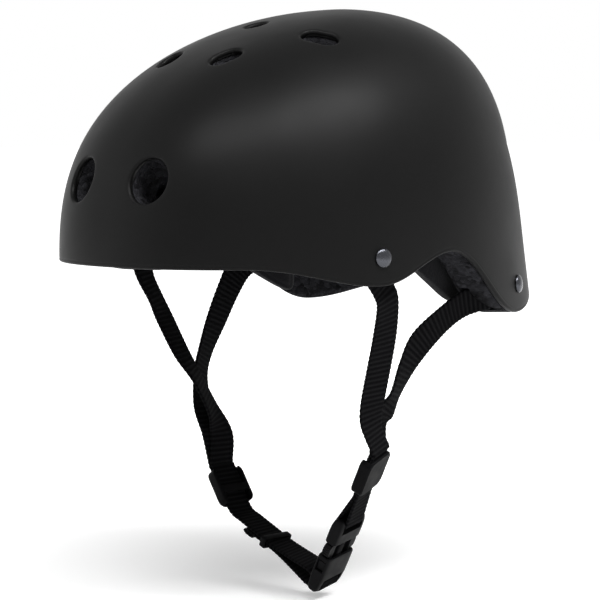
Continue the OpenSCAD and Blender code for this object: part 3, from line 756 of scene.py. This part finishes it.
dress(place("helmet_shell", build_shell()), PAINT, "helmet", "shell", "outer_shell")

liner = place("foam_core", build_liner())
TUNNEL_W, TUNNEL_T, TUNNEL_POINTS = WEB_W + 3, WEB_T + 2.4, 17
CORNERS = ((-1, 1), (1, 1), (1, -1), (-1, -1))


def tunnel(route, widths, side):
    """The slot that a strap runs in, between shell and foam."""
    pts = np.array(smooth(route, 3)[:TUNNEL_POINTS])
    wid = unit(np.array(smooth(widths, 3)[:TUNNEL_POINTS]))
    along = unit(np.array([pts[min(i + 1, len(pts) - 1)] - pts[max(i - 1, 0)] for i in range(len(pts))]))
    out = unit(np.cross(along, wid))
    skin, rings = Skin(), []
    for p, w, n in zip(pts, wid, out):
        ring = [p + w * TUNNEL_W / 2 * a + n * TUNNEL_T / 2 * b for a, b in CORNERS]
        rings.append(skin.add(np.array(ring) * np.array([side, 1, 1])))
    skin.tube(rings, True)
    return skin.piece("tunnel", False)


# Each strap's name, route and body, and what else it stands for; the right ones get no body
STRAPS = (("left_front", LEFT_FRONT, "helmet", ()), ("left_rear", LEFT_REAR, "helmet", ()),
          ("right_front", RIGHT_FRONT, None, ("strap_right_stack",)),
          ("right_rear", RIGHT_REAR, None, ("strap_right_stack",)))
cut(liner, [tunnel(*strap[1], side) for strap in STRAPS for side in (1, -1)], "MANIFOLD")
dress(liner, FOAM, "helmet", "foam", "foam_liner")


def webbing(name, points, widths, body, *nodes):
    return dress(place(name, webbing_mesh(name, points, widths)), WEB, body, "webbing", *nodes)


for name, (route, widths), body, more in STRAPS:
    strap = webbing("webbing_" + name, smooth(route, 16), smooth(widths, 16), body, "strap_" + name, *more)
    if not body:
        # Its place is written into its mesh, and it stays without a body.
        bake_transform(strap)

# Chin strap on the wearer's left: down from the slider, round the buckle's bar and back up
BAR_D, BAR_GAP, BAR_Z = 4.0, WEB_T + 0.7, 2.5
BAR_ROOM = BAR_D / 2 + BAR_GAP + 1.2
SOCKET_Z, SOCKET_L, GRIP_L, BASE_L, PLUG_L = BAR_Z + BAR_ROOM, 15.0, 9.0, 7.0, 12.0
MOUTH_Z = SOCKET_Z + SOCKET_L
BASE_Z = MOUTH_Z + GRIP_L
TOP_BAR_Z = BASE_Z + BASE_L + BAR_ROOM
MALE_TOP = TOP_BAR_Z + BAR_D / 2 + 0.6
BUCKLE_W, BUCKLE_T, WALL = 24.5, 8.5, 1.6
LOOP_R = BAR_D / 2 + 0.3 + WEB_T / 2
LATCH_SIDE = LATCH_TURN[:, 1]


def loop_round(z, a, b, steps=24):
    """Points round a strap bar of the buckle."""
    turns = [math.radians(a + (b - a) * k / steps) for k in range(steps + 1)]
    return [on_latch((LOOP_R * math.cos(f), 0, z + LOOP_R * math.sin(f))) for f in turns]


def straight(a, b, steps=12):
    return [mix(a, b, k / steps) for k in range(steps)]


left_side = np.cross(LEFT_UP, LEFT_OUT)
loop = loop_round(TOP_BAR_Z, 0, -180)
down, up = [[LEFT_AT + LEFT_OUT * s * STACK_X - LEFT_UP * z for z in (0.2, RUN_UP)] for s in (1, -1)]
front_run = [down[0]] + straight(down[1], loop[0])
rear_run = straight(loop[-1], up[1])[1:] + [up[1], up[0]]
points = front_run + loop + rear_run
widths = [left_side] + straight(left_side, LATCH_SIDE) + [LATCH_SIDE] * len(loop)
widths += straight(LATCH_SIDE, left_side)[1:] + [left_side] * 2
webbing("chin_webbing_left", points, widths, "helmet", "chin_strap_left")

# Chin strap on the wearer's right: through the keeper, round the socket's bar and back under itself
KEEPER_AT, KEEPER_TURN = np.array([-19.5, 0.0, -162.0]), turn("Y", 21)
LAYER, KEEPER_RUN, TAIL_L, HEM_L, HEM_STEP = (WEB_T + 0.4) / 2, 9.0, 17.0, 6.0, WEB_T + 0.35


def keeper_point(along, lift):
    return KEEPER_AT + KEEPER_TURN @ np.array([along, 0, lift])


over = [RIGHT_AT + RIGHT_UP * -0.2, RIGHT_AT + RIGHT_UP * -RUN_UP, np.array([-40, 0, -152.8]),
        keeper_point(-6, LAYER), keeper_point(KEEPER_RUN, LAYER), on_latch((-9, 0, BAR_Z + LOOP_R + 1.6))]
under = [on_latch((-7, 0, BAR_Z - LOOP_R))] + [keeper_point(along, -LAYER - lower) for along, lower in (
    (KEEPER_RUN, 0), (-TAIL_L + 3, 0), (-TAIL_L, 0), (-TAIL_L - 1.6, HEM_STEP / 2), (-TAIL_L, HEM_STEP),
    (-TAIL_L + HEM_L, HEM_STEP))]
over_line, loop, under_line = smooth(over, 12), loop_round(BAR_Z, 90, -90), smooth(under, 12)
across = np.array([0, 1.0, 0])
n_over, n_under = len(over_line), len(under_line)
widths = [mix(across, LATCH_SIDE, (i / (n_over - 1)) ** 2) for i in range(n_over)]
widths += [LATCH_SIDE] * len(loop)
widths += [mix(LATCH_SIDE, across, i / (n_under - 1)) for i in range(n_under)]
points = over_line + loop + under_line
webbing("chin_webbing_right", points, widths, "chin_right", "chin_strap_right")


# Rivets

def lathe(outline, count=48):
    """A turned piece: radius and height pairs from the bottom middle to the top middle."""
    skin, rings = Skin(), []
    t = np.arange(count) * 2 * np.pi / count
    for r, z in outline[1:-1]:
        rings.append(skin.add(np.stack([r * np.cos(t), r * np.sin(t), np.full(count, z)], -1)))
    skin.rows(rings)
    foot, tip = skin.add([[0, 0, outline[0][1]], [0, 0, outline[-1][1]]])
    for i in range(count):
        skin.faces.append((rings[0][(i + 1) % count], rings[0][i], foot))
    skin.fan(rings[-1], tip)
    return skin.mesh("turned")


def set_out(name, spots, shape, material, size=1.0):
    """Geometry Nodes: one shape on each spot, turned to the spot's own direction and scaled."""
    tree = bpy.data.node_groups.new(name, "GeometryNodeTree")
    inputs = {"Spots": "Geometry", "Shape": "Object", "Size": "Float", "Finish": "Material"}
    for label, kind in inputs.items():
        tree.interface.new_socket(label, in_out="INPUT", socket_type="NodeSocket" + kind)
    tree.interface.new_socket("Pieces", in_out="OUTPUT", socket_type="NodeSocketGeometry")
    start, end = tree.nodes.new("NodeGroupInput"), tree.nodes.new("NodeGroupOutput")
    info = node(tree, "GeometryNodeObjectInfo", {"Object": start.outputs["Shape"]})
    aim = node(tree, "GeometryNodeInputNamedAttribute", data_type="FLOAT_VECTOR", Name="aim")
    turn_to = node(tree, "FunctionNodeAlignRotationToVector", {"Vector": aim.outputs["Attribute"]}, axis="Z")
    on = node(tree, "GeometryNodeInstanceOnPoints", {
        "Points": start.outputs["Spots"], "Instance": info.outputs["Geometry"],
        "Rotation": turn_to.outputs["Rotation"], "Scale": start.outputs["Size"]})
    real = node(tree, "GeometryNodeRealizeInstances", {"Geometry": on.outputs["Instances"]})
    painted = node(tree, "GeometryNodeSetMaterial", {
        "Geometry": real.outputs["Geometry"], "Material": start.outputs["Finish"]})
    tree.links.new(painted.outputs["Geometry"], end.inputs["Pieces"])
    data = bpy.data.meshes.new(name)
    data.from_pydata([tuple(np.asarray(p) * MM) for p, _ in spots], [], [])
    data.attributes.new("aim", "FLOAT_VECTOR", "POINT").data.foreach_set(
        "vector", np.array([d for _, d in spots], np.float32).ravel())
    obj = place(name, data)
    pattern = place(name + "_shape", shape)
    mod = obj.modifiers.new("Set out", "NODES")
    mod.node_group = tree
    for item in tree.interface.items_tree:
        if item.in_out == "INPUT" and item.name != "Spots":
            mod[item.identifier] = {"Shape": pattern, "Size": size, "Finish": material}[item.name]
    baked(obj)
    bpy.data.objects.remove(pattern)
    return obj


HEAD_R, HEAD_H, SHANK_R, WASHER_T = 5.0, 2.4, 2.4, 1.2
WASHER_FOOT = -(SHELL_T + 1.2 + WEB_T) - WASHER_T
head = [(HEAD_R * math.cos(math.radians(a)), 0.35 + (HEAD_H - 0.35) * math.sin(math.radians(a)))
        for a in range(0, 90, 8)]
rivet_line = [(0, WASHER_FOOT - 1.6), (3.5, WASHER_FOOT - 1.5), (3.7, WASHER_FOOT - 0.3),
              (SHANK_R, WASHER_FOOT + 0.1), (SHANK_R, 0.02),
              (HEAD_R - 0.25, 0.02), (HEAD_R, 0.2)] + head + [(0, HEAD_H)]
spots = []
for spot in (FRONT_RIVET, REAR_RIVET):
    p, n = dome(*spot), dome_out(*spot)
    for side in (1, -1):
        flip = np.array([side, 1, 1])
        spots.append((p * flip, n * flip))
dress(set_out("rivets", spots, lathe(rivet_line), STEEL), STEEL, "helmet", "rivet", "strap_rivets")


# Pads

def pad_piece(node_name, phi, low, tall, back):
    """A crowned pad with rounded corners and a sewn channel round its edge."""
    cols, rows = 56, 28
    # How much ends and sides draw in, the seam's place, width and depth, the edge's thickness and the swell
    end_in, side_in, seam_at, seam_w, seam_deep, edge_t, swell = 0.16, 0.3, 0.24, 0.05, 1.3, 2, PAD_T - 2.4
    skin, grids = Skin(), []
    for face in (0, 1):
        grid = []
        for r in range(rows + 1):
            b = 2 * r / rows - 1
            line = []
            for c in range(cols + 1):
                a = 2 * c / cols - 1
                u = (1 + a * math.sqrt(1 - end_in * b ** 6)) / 2
                v = (1 + b * math.sqrt(1 - side_in * a ** 8)) / 2
                deg = phi[0] + (phi[1] - phi[0]) * u
                z = low[0] + (low[1] - low[0]) * u + tall * v
                crown = math.sqrt(max(0, (1 - a ** 6) * (1 - b ** 6)))
                near = min((1 - abs(a)) * cols / rows * 1.6, 1 - abs(b))
                seam = math.exp(-((near - seam_at) / seam_w) ** 2)
                depth = back + (edge_t + swell * crown - seam_deep * seam) * face
                line.append(dome(deg, z, depth))
            grid.append(skin.add(line))
        grids.append(grid)
    outer, inner = grids
    skin.rows(outer, False)
    for a, b in zip(inner, inner[1:]):
        skin.strip(b, a, False)
    skin.strip(inner[0], outer[0], False)
    skin.strip(outer[-1], inner[-1], False)
    skin.strip([r[0] for r in outer], [r[0] for r in inner], False)
    skin.strip([r[-1] for r in inner], [r[-1] for r in outer], False)
    obj = skin.piece(node_name.replace("pad", "cushion"))
    mod = obj.modifiers.new("Soft", "SUBSURF")
    mod.levels = mod.render_levels = 1
    dress(baked(obj), CLOTH, "helmet", "pad", node_name)


PAD_BACK, REAR_BACK = LINER_IN + 2.6, LINER_IN + WEB_T + 2.2
# Each pad: the angles of its ends, the height of its lower edge at each, how tall it is and how deep it lies
for pad in (("brow_pad", (-38, 38), (4, 4), 22, PAD_BACK),
            ("side_pad_left", (50, 84), (6, 10), 26, PAD_BACK),
            ("side_pad_right", (-50, -84), (6, 10), 26, PAD_BACK),
            ("rear_pad_left", (95, 131), (1, -29.5), 32, REAR_BACK),
            ("rear_pad_right", (-95, -131), (1, -29.5), 32, REAR_BACK),
            ("nape_pad", (150, 210), (0, 0), 30, PAD_BACK)):
    pad_piece(*pad)


def crown_piece():
    """The round pad under the crown, sewn in six petals."""
    # Thickness at the edge, its swell further in and the tip's, and how narrow and deep the seams are
    edge_t, swell, tip_t, narrow, seam_deep = 1.6, 5.0, 4.4, 7, 0.28
    top = CROWN_H - PAD_BACK
    low = top - 12
    cols, rings = 96, 18
    skin, faces = Skin(), []
    for face in (0, 1):
        tip = skin.add([[0, CROWN_SHIFT, top - face * tip_t]])[0]
        grid = []
        for k in range(1, rings + 1):
            x = k / rings
            line = []
            for i in range(cols):
                phi = 360 * i / cols
                seam = math.exp(-(math.sin(math.radians(3 * phi)) * x * narrow) ** 2)
                bulge = math.sqrt(max(0, 1 - x ** 6)) * (1 - seam_deep * seam * (1 - x ** 4))
                depth = PAD_BACK + face * (edge_t + swell * bulge)
                z = low + (CROWN_H - depth - low) * math.cos(math.pi / 2 * x)
                line.append(dome(phi, z, depth))
            grid.append(skin.add(line))
        skin.fan(grid[0], tip)
        skin.rows(grid)
        faces.append(grid)
    skin.strip(faces[0][-1], faces[1][-1])
    dress(skin.piece("crown_cushion"), CLOTH, "helmet", "pad", "crown_pad")


crown_piece()


# Sliders

def slider(node_name, at, rotation, mirrored):
    """Two rails joined by a plate over the outer face and a bar across the inner one, below its middle."""
    rail, bar_t, bar_l, bar_drop, corner = 2.0, 1.5, 4.5, 2.5, 4.2
    channel_t = 2 * WEB_T + 0.9
    half_x, half_y, half_z = (channel_t + 2 * bar_t) / 2, CHANNEL_W / 2 + rail, SLIDER_L / 2
    skin, rings, outline = Skin(), [], []
    for cy, cz, start in ((1, 1, 0), (-1, 1, 90), (-1, -1, 180), (1, -1, 270)):
        for k in range(9):
            t = math.radians(start + 90 * k / 8)
            outline.append((cy * (half_y - corner) + corner * math.cos(t),
                            cz * (half_z - corner) + corner * math.sin(t)))
    outline = np.array(outline)
    for x, shrink in ((-half_x, 0.7), (-half_x + 0.7, 0), (half_x - 0.7, 0), (half_x, 0.7)):
        pts = outline - np.sign(outline) * shrink
        rings.append(skin.add(np.column_stack([np.full(len(pts), x), pts])))
    skin.tube(rings)
    plate = skin.piece("strap_" + node_name)
    cutters = [
        block((-channel_t / 2, -CHANNEL_W / 2, -SLIDER_L), (channel_t / 2, CHANNEL_W / 2, SLIDER_L)),
        block((-2 * half_x, -CHANNEL_W / 2, bar_l / 2 - bar_drop), (0, CHANNEL_W / 2, SLIDER_L)),
        block((-2 * half_x, -CHANNEL_W / 2, -SLIDER_L), (0, CHANNEL_W / 2, -bar_l / 2 - bar_drop))]
    cut(plate, cutters, "EXACT")
    moved(eased(plate, 0.45, 3), at, rotation, mirrored)
    dress(plate, SLIDER, node_name, "slider", node_name)


slider("slider_left", LEFT_AT, LEFT_TURN, False)
slider("slider_right", RIGHT_AT, RIGHT_TURN, True)


# Buckle

# The socket's hollow, and the prongs in it with their barbs
CAVITY_W, CAVITY_T = BUCKLE_W - 2 * WALL, BUCKLE_T - 2 * WALL
PRONG_T, PRONG_W = CAVITY_T - 0.8, 3.0
PRONG_Y = CAVITY_W / 2 - PRONG_W - 0.5
BARB_Z, BARB_L = MOUTH_Z - 9, 6.0
HALF_W, HALF_T = BUCKLE_W / 2, BUCKLE_T / 2

socket = loft("buckle_female", HALF_T, HALF_W, (
    (0, 0.6, 0.93, 5), (0.8, 0.76, 0.975, 6), (3, 0.86, 0.995, 7), (SOCKET_Z, 0.97, 1, 8),
    (SOCKET_Z + 4, 1, 1, 8), (MOUTH_Z - 2, 1, 1, 8), (MOUTH_Z - 0.5, 0.99, 0.995, 7),
    (MOUTH_Z, 0.94, 0.97, 6)))
cut(socket, [
    block((-9, -CHANNEL_W / 2, -1), (9, CHANNEL_W / 2, SOCKET_Z)),
    block((-CAVITY_T / 2, -CAVITY_W / 2, SOCKET_Z + 1.8), (CAVITY_T / 2, CAVITY_W / 2, MOUTH_Z + 1)),
    block((-PRONG_T / 2 - 0.3, -HALF_W - 1, BARB_Z - 0.6),
          (PRONG_T / 2 + 0.3, HALF_W + 1, BARB_Z + BARB_L + 0.6))], "EXACT")
eased(socket, 0.35)
socket = joined("buckle_female", [socket, bar(BAR_Z)])
dress(moved(socket, LATCH_AT, LATCH_TURN), BUCKLE, "chin_right", "buckle", "buckle_socket")

male = loft("buckle_male", HALF_T - 0.5, HALF_W, (
    (BASE_Z, 0.9, 0.97, 6), (BASE_Z + 0.7, 1, 1, 7), (BASE_Z + BASE_L, 1, 1, 8),
    (BASE_Z + BASE_L + 4, 0.98, 0.99, 7), (MALE_TOP - 1.2, 0.86, 0.95, 6), (MALE_TOP, 0.62, 0.88, 5)))
cut(male, [block((-9, -CHANNEL_W / 2, BASE_Z + BASE_L), (9, CHANNEL_W / 2, MALE_TOP + 1))], "EXACT")
eased(male, 0.35)
guide = loft("guide", 1, 1, (
    (MOUTH_Z - PLUG_L, 1.4, 1.6, 4), (MOUTH_Z - PLUG_L + 1.5, 2.0, 2.4, 6), (BASE_Z + 1, 2.05, 2.5, 6)), 32)
male = joined("buckle_male", [male, guide, bar(TOP_BAR_Z)])
dress(moved(male, LATCH_AT, LATCH_TURN), BUCKLE, "helmet", "buckle", "buckle_base")


def prong(name, side):
    """A springy arm with a rounded finger pad and a barb; the pad carries four grip ribs."""
    tip, root = MOUTH_Z - PLUG_L, BASE_Z - 0.4
    line = [(tip, PRONG_Y + 0.9), (tip + 1.2, PRONG_Y + PRONG_W - 0.4), (BARB_Z, PRONG_Y + PRONG_W),
            (BARB_Z + 0.3, HALF_W - 1.3), (BARB_Z + BARB_L - 0.2, HALF_W - 0.3),
            (BARB_Z + BARB_L, PRONG_Y + PRONG_W), (MOUTH_Z + 0.6, PRONG_Y + PRONG_W)]
    finger = GRIP_L - 1.8
    for k in range(15):
        x = k / 7 - 1
        line.append((MOUTH_Z + 0.9 + finger * k / 14, HALF_W - 0.2 + 0.9 * (1 - x ** 2) - 0.5 * x ** 8))
    line += [(root, PRONG_Y + PRONG_W), (root, PRONG_Y), (tip + 1.2, PRONG_Y)]
    skin = Skin()
    skin.tube([skin.add([(x, side * y, z) for z, y in line]) for x in (-PRONG_T / 2, PRONG_T / 2)])
    return eased(skin.piece(name), 0.3, 2, 30)


for name, side in (("prong_rear", 1), ("prong_front", -1)):
    arm = prong(name + "_arm", side)
    ribs = [((0, side * (HALF_W + 0.55), MOUTH_Z + 2.6 + 1.3 * k), (0, side, 0)) for k in range(4)]
    rib = lathe([(0, -0.4), (0.34, -0.4), (0.34, 0.0), (0.2, 0.28), (0, 0.34)], 12)
    rib.transform(Matrix.Diagonal((5.2, 1, 1, 1)))
    arm = joined(name + "_arm", [arm, set_out(name + "_grip", ribs, rib, BUCKLE)])
    dress(moved(arm, LATCH_AT, LATCH_TURN), BUCKLE, name, "buckle", name)


# Keeper

def keeper():
    """A moulded rubber band that holds the loose end against the strap."""
    hole_t, wall, length = 2 * WEB_T + 1.0, 1.2, 4.0
    skin, rings, count = Skin(), [], 56
    half, ease_x, ease = length / 2, 0.4, 0.35
    for x, grow in ((-half + ease_x, 0), (-half, ease), (-half, wall - ease), (-half + ease_x, wall),
                    (half - ease_x, wall), (half, wall - ease), (half, ease), (half - ease_x, 0)):
        ring = oval_ring(hole_t / 2 + grow, CHANNEL_W / 2 + grow, 9, 0, count)
        rings.append(skin.add(np.column_stack([np.full(count, x), ring[:, 1], ring[:, 0]])))
    skin.rows(rings + rings[:1])
    return moved(skin.piece("keeper_band"), KEEPER_AT, KEEPER_TURN)


dress(keeper(), RUBBER, "strap_keeper", "keeper", "strap_keeper")

# The solids that stay in view get their finishes.
for name, material in (("rivet_washers", WASHER), ("pad_discs", HOOKS)):
    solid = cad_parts[name]
    solid.data.materials.clear()
    solid.data.materials.append(material)


# Camera, light and floor

# The camera stands where the photograph was taken from, 1.12 m away.
camera = place("camera", bpy.data.cameras.new("camera"))
CAMERA_AT, AZIMUTH, ELEVATION, ROLL = (832.23, -744.43, 65.68), 48.087, 4.633, -0.453
SENSOR_W, FOCAL_PER_WIDTH = 36, 3.375
a, e = math.radians(AZIMUTH), math.radians(ELEVATION)
back = Vector((math.sin(a) * math.cos(e), -math.cos(a) * math.cos(e), math.sin(e)))
aim = (-back).to_track_quat("-Z", "Y").to_matrix().to_4x4() @ Matrix.Rotation(math.radians(ROLL), 4, "Z")
camera.matrix_world = Matrix.Translation(Vector(CAMERA_AT) * MM) @ aim
camera.data.sensor_width, camera.data.lens = SENSOR_W, SENSOR_W * FOCAL_PER_WIDTH
camera.data.clip_start, camera.data.clip_end = 0.05, 150
bpy.context.scene.camera = camera


def soft_lamp(name, at, toward, size, watts, along):
    """A rectangular soft box whose long side lies along a direction."""
    lamp = place(name, bpy.data.lights.new(name, "AREA"))
    lamp.data.shape, lamp.data.energy = "RECTANGLE", watts
    lamp.data.size, lamp.data.size_y = size
    z = (Vector(at) - Vector(toward)).normalized()
    x = (Vector(along) - Vector(along).dot(z) * z).normalized()
    lamp.matrix_world = Matrix.Translation(at) @ Matrix((x, z.cross(x), z)).transposed().to_4x4()


SHELL_MIDDLE = (0.03, -0.03, 0.05)
soft_lamp("key", (0.84, 0.14, 1.2), SHELL_MIDDLE, (1.2, 0.46), 33, (0.3, 0.93, -0.1))
soft_lamp("side", (0.3, -0.76, 1.24), SHELL_MIDDLE, (1.0, 0.4), 18, (0.87, 0.49, 0.0))
soft_lamp("fill", (-0.9, -1.4, 0.6), (0, 0, 0), (0.9, 0.9), 3, (0, 0, 1))

FLOOR_Z, FLOOR_HALF = -0.1885, 45.0
floor_data = bpy.data.meshes.new("floor")
floor_corners = [(x * FLOOR_HALF, y * FLOOR_HALF, FLOOR_Z) for x, y in CORNERS[::-1]]
floor_data.from_pydata(floor_corners, [], [(0, 1, 2, 3)])
floor = place("floor", floor_data)


def seen_ray(tree):
    """1 for rays from the camera, in a reflection or through glass, and 0 for light that bounces."""
    path = node(tree, "ShaderNodeLightPath")
    one = maths(tree, "MAXIMUM", path.outputs["Is Camera Ray"], path.outputs["Is Glossy Ray"])
    return maths(tree, "MAXIMUM", one, path.outputs["Is Transmission Ray"])


paper, tree, matt = finish_of("pale_paper", "#e9e9e9", 0.9, Specular_IOR_Level=0.0)
# Close to the helmet the paper keeps its shadow, and further out it fades to plain white.
away = node(tree, "ShaderNodeVectorMath", {0: own_place(tree)}, operation="LENGTH")
far = spread(tree, away.outputs["Value"], 0.3, 1.0, 0.25, 1.0)
glow = node(tree, "ShaderNodeEmission", {"Strength": maths(tree, "MULTIPLY", far, seen_ray(tree))})
both = node(tree, "ShaderNodeAddShader", {0: matt.outputs[0], 1: glow.outputs[0]})
tree.links.new(both.outputs[0], tree.nodes["Material Output"].inputs["Surface"])
floor_data.materials.append(paper)

world = bpy.data.worlds.new("studio")
bpy.context.scene.world = world
world.use_nodes = True
tree = world.node_tree
room = tree.nodes["Background"]
room.inputs["Color"].default_value = linear("#ffffff")
# The room's walls are white, and its ceiling and the light that bounces from it are dimmer.
direction = node(tree, "ShaderNodeTexCoord").outputs["Generated"]
height = node(tree, "ShaderNodeSeparateXYZ", {"Vector": direction})
walls = spread(tree, height.outputs["Z"], 1.0, 0.0, 0.35, 0.8)
white = maths(tree, "MULTIPLY", walls, seen_ray(tree))
tree.links.new(spread(tree, white, 0.35, 1.0, 0.0, 1.0), room.inputs["Strength"])

bpy.context.scene.view_settings.view_transform = "Standard"
